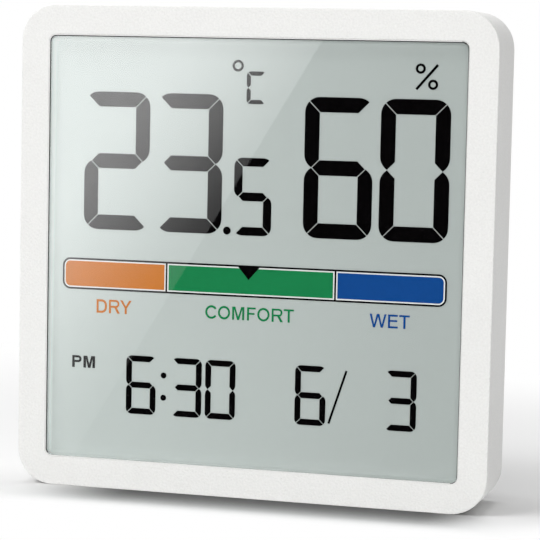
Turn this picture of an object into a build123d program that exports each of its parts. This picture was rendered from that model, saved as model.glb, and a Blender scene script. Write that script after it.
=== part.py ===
from build123d import *
import os
from math import cos, hypot, pi, radians, sin, sqrt, tan

# Table thermometer, hygrometer and clock in a square moulded case.
# Sizes are millimetres. Solids are drawn with the middle of the front face at the origin: X is to the
# right as seen from the front, Y is depth behind the front face and Z is up. The last lines stand the
# clock on the ground with its front facing -Y.

# Case
face_size = 77.5             # outside width and height
case_depth = 13.3            # side wall, from the front face to the rear rim
case_corner = 5.8            # outside corner radius
case_wall = 1.8
front_fillet = 0.2
rear_fillet = 0.7
frame_border = 4.65          # visible frame, from the outside to the window
window_corner = 1.2
window_fillet = 0.1
window_lip = 0.7             # thickness of the frame at the window
rim_lip = 0.95               # wall left outside the rear cover
snap_reach = 0.7             # height of the ramps that hold the chassis
snap_length = 8.0
snap_rise = 1.5
snap_spread = 20.0           # ramps, from the middle of each wall

# Window and display stack, front to back
tape_thickness = 0.15
tape_play = 0.05             # tape to the raised middle of the lens
lens_thickness = 0.55        # edge of the lens, behind the tape
lens_recess = 0.15           # lens below the face of the frame
lens_gap = 0.18              # dark line between lens and frame
lcd_gap = 0.1                # air between lens and display
film_thickness = 0.2
glass_thickness = 1.1
reflector_thickness = 0.25
lcd_overlap = 0.75           # glass hidden behind the frame
film_overlap = 0.4
lcd_ledge = 1.7              # contact ledge below the rear glass
ledge_drop = 0.2             # top of the ledge below the window
fit_gap = 0.3                # parts that drop into the case
pocket_gap = 0.2
web_gap = 0.15
seat_height = 1.2            # rim of the tray that carries the display
seat_width = 3.0

# Chassis and circuit board
chassis_ring = 1.2
web_thickness = 1.0
ring_step = 0.5
post_radius = 2.4
post_inset = 6.2             # screw posts, from the outside of the case
boss_radius = 2.0
boss_height = 2.5
boss_spread = 14.0           # upper board screws, from the middle
boss_edge = 3.0              # board screws, from the board's edges
boss_rise = 12.0             # lower board screws, above the board's lower edge
boss_side = 5.0              # lower board screws, from the board's sides
board_thickness = 1.2
board_gap = 1.8
zebra_thickness = 1.3
zebra_short = 12.2           # connector shorter than the window

# Cells and contacts
cell_diameter = 10.5
cell_length = 44.5
nub_radius = 1.9
nub_height = 0.9
cell_edge = 0.4
cell_gap = 0.2
cell_space = 0.5             # between the two cells
contact_thickness = 0.4
contact_width = 8.5
contact_gap = 0.05
dimple_radius = 2.2
dimple_height = 0.3
spring_length = 4.5
spring_wire = 0.3            # wire radius
spring_big = 3.3
spring_small = 2.0
spring_turns = 3
tail_width = 3.0
tail_red = 3.2               # how far each tail stands out of the bay
tail_black = 4.9
lead_radius = 0.6
lead_rise = 3.6              # height of the leads over their tails
lead_bend = 2.0
lead_pad = 3.0               # solder pads below the board's upper edge

# Rear cover
flange_thickness = 1.6
flange_gap = 0.15
flange_inset = 0.2
cover_wall = 1.6
hump_side = 5.75             # raised back, from the outside of the case
hump_end = 5.0
hump_corner_share = 6.0      # face size over the corner radius of the raised back
hump_draft = 7.372           # degrees
hump_fillet = 1.0
bay_wall = 1.2
bay_floor = 1.0
bay_gap = 0.3                # bay floor to the chassis web
bay_rib = 2.0
key_head_radius = 2.9        # screw head entry of the hanging hole
key_slot_radius = 1.5
key_drop = 3.6
key_top = 3.35               # slot end below the edge of the raised back
key_margin = 1.0
vent_length = 11.0
vent_width = 1.3
vent_rows = 10.0             # height below the door, in vent pitches
vent_count = 7
dish_radius = 6.0
dish_depth = 1.0

# Battery door
door_thickness = 1.4
door_gap = 0.3
door_ledge = 1.2
door_rim = 1.0
door_corner = 1.5
door_rest = 0.1              # door to the cells
door_stub_radius = 0.5
door_stub = 0.7
door_play = 0.05
latch_width = 11.0
latch_height = 7.0
latch_slit = 0.8
grip_count = 3
grip_pitch = 1.6
grip_depth = 0.35

# Stand leg
leg_width = 20.0
leg_thickness = 2.4
leg_side_gap = 0.3
leg_floor_gap = 0.25
leg_proud = 0.1              # leg below the face of the raised back
leg_heel = 2.0               # leg above its pivot
leg_corner = 6.0
leg_edge = 0.4
leg_tip_gap = 0.75           # folded tip above the ground
leg_panel = 0.5
leg_panel_border = 2.2
leg_open = 35.0              # degrees
stop_gap = 0.12
pivot_drop = 6.5             # pivot below the door's recess
trunnion_radius = 1.1
trunnion_length = 1.5
trunnion_play = 0.05
ear_wall = 2.6
pocket_floor = 1.2

# Buttons and switches
button_rows = 3.75           # height below the door, in button pitches
button_space = 0.4           # between the flanges of neighbours
button_play = 0.15
button_inset = 0.2           # cap below the raised back
button_travel = 0.35
button_dish = 3.0            # radius of the hollow in the cap, in cap radii
dish_share = 15.0            # cap radius over the hollow's depth
button_flange = 0.8
button_flange_thickness = 1.0
button_edge = 0.4
sleeve_wall = 1.2
sleeve_gap = 0.2
stem_height = 0.3
stem_step = 0.25             # stem narrower than the plunger
switch_space = 2.0           # between neighbouring switches
switch_height = 3.2
plunger_share = 0.29         # plunger radius over the switch's size
plunger_play = 0.15
plunger_rise = 0.7
plunger_depth = 2.0

# Screws
screw_radius = 0.9
screw_hole = 1.15
screw_length = 7.0
screw_head = 2.0
screw_head_height = 1.2
screw_sink = 0.5
screw_play = 0.02
board_screw_length = 4.0
drive_width = 0.6
drive_length = 2.2
drive_depth = 0.7

# Small parts on the board
blob_radius = 6.5
blob_height = 1.6
crystal_radius = 1.0
crystal_length = 6.0
sensor_size = 3.0
sensor_height = 1.0
chip_length = 2.0
chip_width = 1.25
chip_height = 0.9
chip_count = 5
chip_pitch = 4.0

# Depths, from the front face
lens_front = window_lip + tape_thickness
lens_rear = lens_front + lens_thickness
film_front = lens_rear + lcd_gap
glass_front = film_front + film_thickness
glass_middle = glass_front + glass_thickness
reflector_front = glass_middle + glass_thickness
reflector_rear = reflector_front + reflector_thickness
seat_front = reflector_rear + web_gap
web_front = seat_front + seat_height
web_rear = web_front + web_thickness
ring_rear = web_rear + ring_step
board_front = web_rear + boss_height
board_rear = board_front + board_thickness
bay_front = web_rear + bay_gap
bay_inside = bay_front + bay_floor
cell_axis = bay_inside + cell_gap + cell_diameter / 2
door_front = cell_axis + cell_diameter / 2 + door_rest
total_depth = door_front + door_thickness
flange_rear = case_depth - flange_inset
flange_front = flange_rear - flange_thickness
hump_rise = total_depth - flange_rear
leg_rear = total_depth - leg_proud
leg_front = leg_rear - leg_thickness
pivot_depth = leg_rear - leg_thickness / 2
heel_reach = leg_thickness / 2 * cos(radians(leg_open)) + leg_heel * sin(radians(leg_open))
stop_depth = pivot_depth - heel_reach - stop_gap
switch_rear = board_rear + switch_height
plunger_rear = switch_rear + plunger_rise
button_flange_front = plunger_rear + stem_height
button_flange_rear = button_flange_front + button_flange_thickness
sleeve_front = button_flange_rear + sleeve_gap

# Widths and heights
window_size = face_size - 2 * frame_border
cavity_size = face_size - 2 * case_wall
cavity_corner = case_corner - case_wall
lens_size = cavity_size - 2 * fit_gap
lens_corner = cavity_corner - fit_gap
pane_size = window_size - 2 * lens_gap
pane_corner = window_corner - lens_gap
glass_size = window_size + 2 * lcd_overlap
glass_top = glass_size / 2
ledge_top = -(window_size / 2 + ledge_drop)
ledge_bottom = ledge_top - lcd_ledge
zebra_z = ledge_top - lcd_ledge / 2
zebra_length = window_size - zebra_short
post_xy = face_size / 2 - post_inset
hump_corner = face_size / hump_corner_share
hump_width = face_size - 2 * hump_side
hump_height = face_size - 2 * hump_end
hump_shrink = hump_rise * tan(radians(hump_draft))
hump_face_side = hump_width / 2 - hump_shrink
hump_face_top = hump_height / 2 - hump_shrink
cell_pitch = cell_diameter + cell_space
bay_height = cell_pitch + cell_diameter + 2 * cell_gap
bay_length = 2 * (contact_thickness + contact_gap) + dimple_height + cell_length + spring_length
door_width = bay_length + 2 * door_ledge
key_slot_z = hump_face_top - key_top
key_z = key_slot_z - key_drop
recess_top = key_z - key_head_radius - key_margin
door_top = recess_top - door_gap
bay_top = door_top - door_ledge
bay_bottom = bay_top - bay_height
bay_z = (bay_top + bay_bottom) / 2
door_bottom = bay_bottom - door_ledge
recess_bottom = door_bottom - door_gap
door_axis_z = door_top - door_thickness / 2
door_axis_depth = total_depth - door_thickness / 2
upper_z = bay_z + cell_pitch / 2
lower_z = bay_z - cell_pitch / 2
bay_end = bay_length / 2
plate_face = bay_end - contact_thickness
pivot_z = recess_bottom - pivot_drop
leg_tip = -face_size / 2 + leg_tip_gap
leg_recess = leg_width / 2 + leg_side_gap
leg_recess_top = pivot_z + hypot(leg_thickness / 2, leg_heel) + leg_side_gap
ear_out = leg_recess + ear_wall
button_x = -(ear_out + hump_face_side) / 2
button_z = (recess_bottom - hump_face_top) / 2
column_height = recess_bottom + hump_face_top
button_pitch = column_height / button_rows
button_flange_radius = (button_pitch - button_space) / 2
button_radius = button_flange_radius - button_flange
switch_size = button_pitch - switch_space
plunger_radius = switch_size * plunger_share
stem_radius = plunger_radius - stem_step
vent_pitch = column_height / vent_rows
board_top = bay_bottom - bay_wall - board_gap
board_bottom = ledge_bottom
board_side = lens_size / 2 - chassis_ring - boss_edge / 2
board_z = (board_top + board_bottom) / 2
lead_pad_z = board_top - lead_pad
boss_places = [
    (boss_spread, board_top - boss_edge),
    (-boss_spread, board_top - boss_edge),
    (board_side - boss_side, board_bottom + boss_rise),
    (boss_side - board_side, board_bottom + boss_rise),
]
post_places = [(sx * post_xy, sz * post_xy) for sx in (1, -1) for sz in (1, -1)]
button_places = {
    "set": button_z + button_pitch,
    "up": button_z,
    "down": button_z - button_pitch,
}


def slab(sketch, front, rear):
    """A flat sketch, X across and Z up, made solid between two depths."""
    plane = Plane(origin=(0, rear, 0), x_dir=(1, 0, 0), z_dir=(0, -1, 0))
    return extrude(plane * sketch, amount=rear - front)


def block(x_low, x_high, front, rear, z_low, z_high):
    """A straight-sided slab between the given limits."""
    sketch = Pos((x_low + x_high) / 2, (z_low + z_high) / 2) * Rectangle(x_high - x_low, z_high - z_low)
    return slab(sketch, front, rear)


def rod(radius, front, rear, x, z):
    """A round bar along the depth."""
    return slab(Pos(x, z) * Circle(radius), front, rear)


def cross_rod(radius, x_low, x_high, depth, z):
    """A round bar across the clock."""
    plane = Plane(origin=(x_low, depth, z), x_dir=(0, 1, 0), z_dir=(1, 0, 0))
    return extrude(plane * Circle(radius), amount=x_high - x_low)


def rounded(size, radius):
    """A square sketch with round corners."""
    return RectangleRounded(size, size, radius)


def side_profile(sketch, x_low, x_high):
    """A sketch of depth and height, drawn from the side and made solid across the clock."""
    plane = Plane(origin=(x_low, 0, 0), x_dir=(0, 1, 0), z_dir=(1, 0, 0))
    return extrude(plane * sketch, amount=x_high - x_low)


def front_housing():
    shell = slab(rounded(face_size, case_corner), 0, case_depth)
    shell = fillet(shell.faces().sort_by(Axis.Y)[0].edges(), front_fillet)
    shell = fillet(shell.faces().sort_by(Axis.Y)[-1].edges(), rear_fillet)
    shell -= slab(rounded(cavity_size, cavity_corner), window_lip, case_depth)
    shell -= slab(rounded(face_size - 2 * rim_lip, case_corner - rim_lip), flange_front, case_depth)
    shell -= slab(rounded(window_size, window_corner), 0, window_lip)
    frame = shell.faces().sort_by(Axis.Y)[0]
    shell = fillet(frame.inner_wires()[0].edges(), window_fillet)
    for turn in range(4):
        for place in (snap_spread, -snap_spread):
            shell += Rot(0, 90 * turn, 0) * snap_ramp(place)
    return shell


def snap_ramp(z):
    """A ramp on the right wall, just behind the chassis."""
    wall = cavity_size / 2
    front = ring_rear + flange_gap
    ramp = Polygon(
        (wall, front), (wall, front + snap_rise), (wall - snap_reach, front), align=None
    )
    return Pos(0, 0, z - snap_length / 2) * extrude(ramp, amount=snap_length)


def lens_tape():
    opening = rounded(pane_size + 2 * tape_play, pane_corner + tape_play)
    return slab(rounded(lens_size, lens_corner) - opening, window_lip, lens_front)


def window_lens():
    """Clear pane that fills the window, with a thin edge held behind the frame."""
    pane = slab(rounded(pane_size, pane_corner), lens_recess, lens_rear)
    return pane + slab(rounded(lens_size, lens_corner), lens_front, lens_rear)


def front_polarizer():
    size = window_size + 2 * film_overlap
    return slab(Rectangle(size, size), film_front, glass_front)


def lcd_front_glass():
    half = glass_size / 2
    return block(-half, half, glass_front, glass_middle, ledge_bottom, glass_top)


def lcd_rear_glass():
    half = glass_size / 2
    return block(-half, half, glass_middle, reflector_front, ledge_top, glass_top)


def lcd_reflector():
    half = window_size / 2 + film_overlap
    return block(-half, half, reflector_front, reflector_rear, ledge_top, half)


def lcd_chassis():
    """Tray open to the front for the display, with posts for the cover and bosses for the board."""
    half = lens_size / 2
    tray = slab(rounded(lens_size, lens_corner), lens_rear, ring_rear)
    pocket = glass_size / 2 + pocket_gap
    tray -= block(-pocket, pocket, lens_rear, web_front, -half - chassis_ring, pocket)
    tray += block(-pocket, pocket, seat_front, web_front, ledge_top, pocket)
    well = pocket - seat_width
    tray -= block(-well, well, seat_front, web_front, ledge_top + seat_width, well)
    inside = rounded(lens_size - 2 * chassis_ring, lens_corner - chassis_ring)
    tray -= slab(inside, web_rear, ring_rear)
    slot = Pos(0, zebra_z) * Rectangle(zebra_length + pocket_gap, zebra_thickness + pocket_gap)
    tray -= slab(slot, web_front, ring_rear)
    for x, z in post_places:
        tray += rod(post_radius, web_rear, flange_front, x, z)
    for x, z in boss_places:
        tray += rod(boss_radius, web_rear, board_front, x, z)
    pilot = screw_radius + screw_play
    deep = screw_length - flange_thickness
    for x, z in post_places:
        tray -= rod(pilot, flange_front - deep, flange_front, x, z)
    for x, z in boss_places:
        tray -= rod(pilot, board_rear - board_screw_length, board_front, x, z)
    return tray


def zebra_connector():
    sketch = Pos(0, zebra_z) * Rectangle(zebra_length, zebra_thickness)
    return slab(sketch, glass_middle, board_front)


def main_board():
    board = block(-board_side, board_side, board_front, board_rear, board_bottom, board_top)
    for x, z in post_places:
        board -= rod(post_radius + fit_gap, board_front, board_rear, x, z)
    for x, z in boss_places:
        board -= rod(screw_hole, board_front, board_rear, x, z)
    return board


def controller_blob():
    """Flattened dome of epoxy over the controller."""
    ball = (blob_radius**2 + blob_height**2) / (2 * blob_height)
    dome = Pos(0, board_rear + blob_height - ball, board_z) * Sphere(ball)
    return dome & rod(blob_radius, board_rear, board_rear + blob_height, 0, board_z)


def clock_crystal():
    left = blob_radius + crystal_radius
    can = cross_rod(crystal_radius, left, left + crystal_length, board_rear + crystal_radius, board_z)
    return fillet(can.edges().filter_by(GeomType.CIRCLE), crystal_radius / 4)


def climate_sensor():
    sketch = Pos(-button_x, button_z) * Rectangle(sensor_size, sensor_size)
    package = slab(sketch, board_rear, board_rear + sensor_height)
    return package - rod(sensor_size / 5, board_rear + sensor_height / 2, board_rear + sensor_height,
                         -button_x, button_z)


def chip_capacitors():
    chips = []
    for index in range(chip_count):
        x = (index - (chip_count - 1) / 2) * chip_pitch
        sketch = Pos(x, board_z - blob_radius - chip_length) * Rectangle(chip_width, chip_length)
        chips.append(slab(sketch, board_rear, board_rear + chip_height))
    return Compound(children=chips)


def key_switches():
    bodies = []
    for z in button_places.values():
        body = slab(Pos(button_x, z) * Rectangle(switch_size, switch_size), board_rear, switch_rear)
        bore = plunger_radius + plunger_play
        bottom = switch_rear - plunger_depth - button_travel - plunger_play
        bodies.append(body - rod(bore, bottom, switch_rear, button_x, z))
    return Compound(children=bodies)


def switch_plunger(z):
    return rod(plunger_radius, switch_rear - plunger_depth, plunger_rear, button_x, z)


def button(z):
    """Cap with a flange that keeps it in the cover and a stem on the switch."""
    top = total_depth - button_inset
    cap = rod(button_radius, button_flange_rear, top, button_x, z)
    cap = fillet(cap.faces().sort_by(Axis.Y)[-1].edges(), button_edge)
    cap += rod(button_flange_radius, button_flange_front, button_flange_rear, button_x, z)
    cap += rod(stem_radius, plunger_rear, button_flange_front, button_x, z)
    ball = button_dish * button_radius
    hollow = ball - button_radius / dish_share
    return cap - Pos(button_x, top + hollow, z) * Sphere(ball)


def battery_cell(z, positive):
    """One cell along X; positive is 1 with its nub to the right and -1 to the left."""
    nub_end = plate_face - dimple_height - contact_gap
    shoulder = nub_end - nub_height
    foot = nub_end - cell_length
    can = cross_rod(cell_diameter / 2, foot, shoulder, 0, 0)
    can = fillet(can.edges().filter_by(GeomType.CIRCLE), cell_edge)
    can += cross_rod(nub_radius, shoulder, nub_end, 0, 0)
    turned = can if positive > 0 else Rot(0, 0, 180) * can
    return Pos(0, cell_axis, z) * turned


def contact_plate(z_low, z_high, side):
    """Plate against an end wall of the bay; side is 1 on the right and -1 on the left."""
    edges = sorted((side * plate_face, side * bay_end))
    front = cell_axis - contact_width / 2
    return block(edges[0], edges[1], front, front + contact_width, z_low, z_high)


def dimple(z, side):
    """Raised point that meets a cell's nub."""
    plane = Plane(origin=(side * plate_face, cell_axis, z), z_dir=(-side, 0, 0))
    top = dimple_radius / 2
    return plane * Cone(dimple_radius, top, dimple_height, align=(Align.CENTER, Align.CENTER, Align.MIN))


def contact_tail(z, reach):
    """Tail of a right-hand plate, bent out through the bay's wall."""
    front = cell_axis - contact_width / 2
    return block(plate_face, bay_end + reach, front, front + contact_thickness,
                 z - tail_width / 2, z + tail_width / 2)


def bridge_contact():
    half = contact_width / 2
    return contact_plate(lower_z - half, upper_z + half, -1) + dimple(lower_z, -1)


def positive_contact():
    half = contact_width / 2
    plate = contact_plate(upper_z - half, upper_z + half, 1)
    return plate + dimple(upper_z, 1) + contact_tail(upper_z, tail_red)


def negative_contact():
    half = contact_width / 2
    return contact_plate(lower_z - half, lower_z + half, 1) + contact_tail(lower_z, tail_black)


def spring_point(angle):
    """Centre of the wire and its direction on a cone that narrows towards the cell."""
    share = angle / (2 * pi * spring_turns)
    radius = spring_big + (spring_small - spring_big) * share
    climb = spring_length - 2 * (spring_wire + contact_gap)
    point = Vector(spring_wire + contact_gap + climb * share, radius * cos(angle), radius * sin(angle))
    narrowing = (spring_small - spring_big) / (2 * pi * spring_turns)
    direction = Vector(
        climb / (2 * pi * spring_turns),
        narrowing * cos(angle) - radius * sin(angle),
        narrowing * sin(angle) + radius * cos(angle),
    )
    return point, direction.normalized()


def biarc(start, leave, end, arrive):
    """Two arcs that join two points with the given directions."""
    chord = end - start
    both = leave + arrive
    square = 2 * (1 - leave.dot(arrive))
    along = chord.dot(both)
    reach = (sqrt(along**2 + square * chord.dot(chord)) - along) / square
    middle = (start + end + (leave - arrive) * reach) * 0.5
    first = TangentArc(start, middle, tangent=leave)
    return [first, TangentArc(middle, end, tangent=first % 1)]


def coil_spring():
    """Conical battery spring along X, wide end at the origin."""
    quarters = 4 * spring_turns
    edges = []
    for index in range(quarters):
        start, leave = spring_point(index * pi / 2)
        end, arrive = spring_point((index + 1) * pi / 2)
        edges += biarc(start, leave, end, arrive)
    start, leave = spring_point(0)
    section = Plane(origin=start, z_dir=leave) * Circle(spring_wire)
    return sweep(section, path=Wire(edges))


def spring_self_gap():
    """Least distance between neighbouring turns of the spring, wire surface to wire surface."""
    steps = 48
    points = [spring_point(index * 2 * pi / steps)[0] for index in range(steps * spring_turns + 1)]
    far = steps // 2
    gaps = [
        (points[a] - points[b]).length
        for a in range(len(points))
        for b in range(a + far, len(points))
    ]
    return min(gaps) - 2 * spring_wire


def upper_cell_spring():
    return Pos(-plate_face, cell_axis, upper_z) * coil_spring()


def lower_cell_spring():
    return Pos(plate_face, cell_axis, lower_z) * (Rot(0, 0, 180) * coil_spring())


def battery_lead(reach, z):
    """Wire from a contact's tail, over and down to its pad on the board."""
    x = bay_end + reach - 2 * lead_radius
    start = cell_axis - contact_width / 2 + contact_thickness
    over = start + lead_rise
    route = FilletPolyline(
        (start, z), (over, z), (over, lead_pad_z), (board_rear, lead_pad_z), radius=lead_bend
    )
    path = Plane(origin=(x, 0, 0), x_dir=(0, 1, 0), z_dir=(1, 0, 0)) * route
    section = Plane(origin=(x, start, z), z_dir=(0, 1, 0)) * Circle(lead_radius)
    return sweep(section, path=path)


def screw(length):
    """Pan-head screw along Y, the underside of its head at the origin and its tip to the front."""
    head = rod(screw_head, 0, screw_head_height, 0, 0)
    head = fillet(head.faces().sort_by(Axis.Y)[-1].edges(), screw_head_height / 2)
    shank = rod(screw_radius, -length, 0, 0, 0)
    drive = Rectangle(drive_length, drive_width) + Rectangle(drive_width, drive_length)
    return head + shank - slab(drive, screw_head_height - drive_depth, screw_head_height)


def cover_screws():
    seat = flange_rear - screw_sink + screw_play
    one = screw(screw_length - screw_sink)
    return Compound(children=[Pos(x, seat, z) * one for x, z in post_places])


def board_screws():
    one = screw(board_screw_length)
    return Compound(children=[Pos(x, board_rear, z) * one for x, z in boss_places])


def raised_back(width, height, corner, front, rear):
    """Rounded block that narrows towards the back by the draft angle."""
    plane = Plane(origin=(0, front, 0), x_dir=(1, 0, 0), z_dir=(0, 1, 0))
    sketch = plane * RectangleRounded(width, height, corner)
    return extrude(sketch, amount=rear - front, taper=hump_draft)


def cover_shell():
    """Flange and raised back, hollow from the front."""
    hump = raised_back(hump_width, hump_height, hump_corner, flange_rear, total_depth)
    hump = fillet(hump.faces().sort_by(Axis.Y)[-1].edges(), hump_fillet)
    plate_size = face_size - 2 * (rim_lip + flange_gap)
    plate = slab(rounded(plate_size, case_corner - rim_lip - flange_gap), flange_front, flange_rear)
    hollow = raised_back(
        hump_width - 2 * cover_wall, hump_height - 2 * cover_wall, hump_corner - cover_wall,
        flange_front, total_depth - cover_wall,
    )
    return plate + hump, hollow


def rear_cover():
    envelope, hollow = cover_shell()
    cover = envelope - hollow
    cover += battery_bay()
    ears = block(-ear_out, ear_out, stop_depth - pocket_floor, total_depth,
                 -hump_height / 2, leg_recess_top + cover_wall)
    cover += ears & envelope
    for z in button_places.values():
        sleeve = button_radius + button_play + sleeve_wall
        cover += rod(sleeve, sleeve_front, total_depth - cover_wall, button_x, z)
    cover -= bay_openings()
    cover -= leg_openings()
    for z in button_places.values():
        cover -= rod(button_radius + button_play, sleeve_front, total_depth, button_x, z)
    cover -= keyhole()
    cover -= vents()
    for x, z in post_places:
        cover -= rod(screw_hole, flange_front, flange_rear, x, z)
        cover -= rod(screw_head + flange_gap, flange_rear - screw_sink, flange_rear, x, z)
    return cover


def battery_bay():
    """Tray for the cells and the rim that the door drops into."""
    end = bay_end + bay_wall
    tray = block(-end, end, bay_front, door_front, bay_bottom - bay_wall, bay_top + bay_wall)
    side = door_width / 2 + door_gap + door_rim
    rim_front = door_front - cover_wall
    rim = block(-side, side, rim_front, total_depth - hump_fillet,
                recess_bottom - door_rim, recess_top + door_rim)
    return tray + rim


def bay_openings():
    """Everything cut for the cells, the contact tails, the door and the thumb."""
    cut = block(-bay_end, bay_end, bay_inside, total_depth, bay_bottom, bay_top)
    rib_end = plate_face - spring_length
    cut -= block(-rib_end, rib_end, bay_inside, bay_inside + bay_rib,
                 bay_z - cell_space, bay_z + cell_space)
    width = door_width + 2 * door_gap
    recess = Pos(0, bay_z) * Rectangle(width, recess_top - recess_bottom)
    recess = fillet(recess.vertices().group_by(Axis.Y)[0], door_corner + door_gap)
    cut += slab(recess, door_front - door_rest / 2, total_depth)
    socket = door_width / 2 + door_stub + door_gap
    cut += cross_rod(door_stub_radius + door_play, -socket, socket, door_axis_depth, door_axis_z)
    front = cell_axis - contact_width / 2
    for z in (upper_z, lower_z):
        half = tail_width / 2 + flange_gap
        cut += block(plate_face, bay_end + bay_wall, front - flange_gap,
                     front + contact_thickness + flange_gap, z - half, z + half)
    thumb = Pos(0, total_depth + dish_radius - dish_depth, recess_bottom) * Sphere(dish_radius)
    return cut + thumb


def leg_openings():
    """Recess for the folded leg, the pocket that stops its heel and the trunnion sockets."""
    floor = leg_front - leg_floor_gap
    cut = block(-leg_recess, leg_recess, floor, total_depth, -face_size / 2, leg_recess_top)
    cut += block(-leg_recess, leg_recess, stop_depth, total_depth, pivot_z - leg_heel, leg_recess_top)
    socket = leg_width / 2 + trunnion_length + leg_side_gap
    return cut + cross_rod(trunnion_radius + trunnion_play, -socket, socket, pivot_depth, pivot_z)


def keyhole():
    """Hanging hole: a screw head enters below and its shank slides up the slot."""
    slot = Pos(0, (key_z + key_slot_z) / 2) * Rectangle(2 * key_slot_radius, key_drop)
    entry = Pos(0, key_z) * Circle(key_head_radius)
    rest = Pos(0, key_slot_z) * Circle(key_slot_radius)
    return slab(entry + slot + rest, total_depth - cover_wall, total_depth)


def vents():
    """Slots over the climate sensor."""
    slots = Sketch()
    for index in range(vent_count):
        z = button_z + (index - (vent_count - 1) / 2) * vent_pitch
        slots += Pos(-button_x, z) * SlotOverall(vent_length, vent_width)
    return slab(slots, total_depth - cover_wall, total_depth)


def battery_door():
    """Flap with a round upper edge on two stubs, and a springy tongue with a grip at its lower edge."""
    half = door_width / 2
    middle = (door_front + total_depth) / 2
    tall = door_axis_z - door_bottom
    flat = Pos(middle, door_bottom + tall / 2) * Rectangle(door_thickness, tall)
    door = side_profile(flat + Pos(middle, door_axis_z) * Circle(door_thickness / 2), -half, half)
    corners = door.edges().filter_by(Axis.Y).group_by(Axis.Z)[0]
    door = fillet(corners, door_corner)
    door += cross_rod(door_stub_radius, -half - door_stub, half + door_stub, door_axis_depth, door_axis_z)
    for side in (1, -1):
        x = side * latch_width / 2
        slit = block(x - latch_slit / 2, x + latch_slit / 2, door_front, total_depth,
                     door_bottom, door_bottom + latch_height)
        door -= slit
    grip_width = latch_width - 4 * latch_slit
    for index in range(grip_count):
        z = door_bottom + (index + 1) * grip_pitch
        door -= slab(Pos(0, z) * SlotOverall(grip_width, latch_slit), total_depth - grip_depth, total_depth)
    return door


def stand_leg():
    """Tongue with a round foot, a sunk panel on its outer face and a trunnion on each side."""
    top = pivot_z + leg_heel
    half = leg_width / 2
    outline = Pos(0, (top + leg_tip) / 2) * Rectangle(leg_width, top - leg_tip)
    outline = fillet(outline.vertices().group_by(Axis.Y)[0], leg_corner)
    leg = slab(outline, leg_front, leg_rear)
    leg = fillet(leg.faces().sort_by(Axis.Y)[-1].edges(), leg_edge)
    panel_top = pivot_z - leg_heel
    panel_bottom = leg_tip + leg_panel_border
    panel_width = leg_width - 2 * leg_panel_border
    panel = Pos(0, (panel_top + panel_bottom) / 2) * RectangleRounded(
        panel_width, panel_top - panel_bottom, leg_corner - leg_panel_border
    )
    leg -= slab(panel, leg_rear - leg_panel, leg_rear)
    pin = half + trunnion_length
    return leg + cross_rod(trunnion_radius, -pin, pin, pivot_depth, pivot_z)


nodes = {
    "front_housing": front_housing(),
    "lens_tape": lens_tape(),
    "window_lens": window_lens(),
    "front_polarizer": front_polarizer(),
    "lcd_front_glass": lcd_front_glass(),
    "lcd_rear_glass": lcd_rear_glass(),
    "lcd_reflector": lcd_reflector(),
    "lcd_chassis": lcd_chassis(),
    "zebra_connector": zebra_connector(),
    "main_board": main_board(),
    "controller_blob": controller_blob(),
    "clock_crystal": clock_crystal(),
    "climate_sensor": climate_sensor(),
    "chip_capacitors": chip_capacitors(),
    "key_switches": key_switches(),
    "board_screws": board_screws(),
    "rear_cover": rear_cover(),
    "cover_screws": cover_screws(),
    "stand_leg": stand_leg(),
    "battery_door": battery_door(),
    "battery_cell_upper": battery_cell(upper_z, 1),
    "battery_cell_lower": battery_cell(lower_z, -1),
    "bridge_contact": bridge_contact(),
    "positive_contact": positive_contact(),
    "negative_contact": negative_contact(),
    "upper_cell_spring": upper_cell_spring(),
    "lower_cell_spring": lower_cell_spring(),
    "battery_lead_red": battery_lead(tail_red, upper_z),
    "battery_lead_black": battery_lead(tail_black, lower_z),
}
for name, height in button_places.items():
    nodes[f"{name}_button"] = button(height)
    nodes[f"{name}_switch_plunger"] = switch_plunger(height)

stand = Pos(0, -total_depth / 2, face_size / 2)
os.makedirs("parts", exist_ok=True)
for name, shape in nodes.items():
    export_step(stand * shape, f"parts/{name}.step")

print(f"overall depth {total_depth:.2f} mm")
print(f"spring turns clear each other by {spring_self_gap():.2f} mm")
print(f"leg pivot at depth {pivot_depth:.3f}, height {pivot_z:.3f} from the middle of the face")
print(f"door axis at depth {door_axis_depth:.3f}, height {door_axis_z:.3f}")
print(f"buttons at x {button_x:.3f}, heights {[round(z, 3) for z in button_places.values()]}")
print(f"hanging hole at height {key_z:.3f}")
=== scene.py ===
import math

import bmesh
import bpy
from bpy.props import FloatProperty, FloatVectorProperty, PointerProperty, StringProperty
from mathutils import Matrix, Vector


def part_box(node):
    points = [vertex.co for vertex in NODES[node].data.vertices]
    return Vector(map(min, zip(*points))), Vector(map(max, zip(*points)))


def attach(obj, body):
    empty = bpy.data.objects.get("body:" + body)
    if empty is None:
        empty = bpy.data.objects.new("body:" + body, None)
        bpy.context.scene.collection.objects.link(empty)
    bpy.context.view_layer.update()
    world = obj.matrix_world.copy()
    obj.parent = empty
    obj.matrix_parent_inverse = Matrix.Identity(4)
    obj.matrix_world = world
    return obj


bl_info = {
    "name": "Room climate clock",
    "version": (1, 0, 0),
    "blender": (4, 5, 0),
    "location": "View3D > Sidebar > Climate clock",
    "description": "Finishes a square table clock with a thermometer and hygrometer display",
    "category": "Object",
}

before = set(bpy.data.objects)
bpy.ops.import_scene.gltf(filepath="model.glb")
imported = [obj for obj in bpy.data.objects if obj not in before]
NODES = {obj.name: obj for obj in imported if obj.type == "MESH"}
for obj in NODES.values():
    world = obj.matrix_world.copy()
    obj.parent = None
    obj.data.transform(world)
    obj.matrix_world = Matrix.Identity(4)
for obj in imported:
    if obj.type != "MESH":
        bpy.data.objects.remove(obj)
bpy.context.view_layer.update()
MM = 0.001
WHITE = (1.0, 1.0, 1.0, 1.0)

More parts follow.
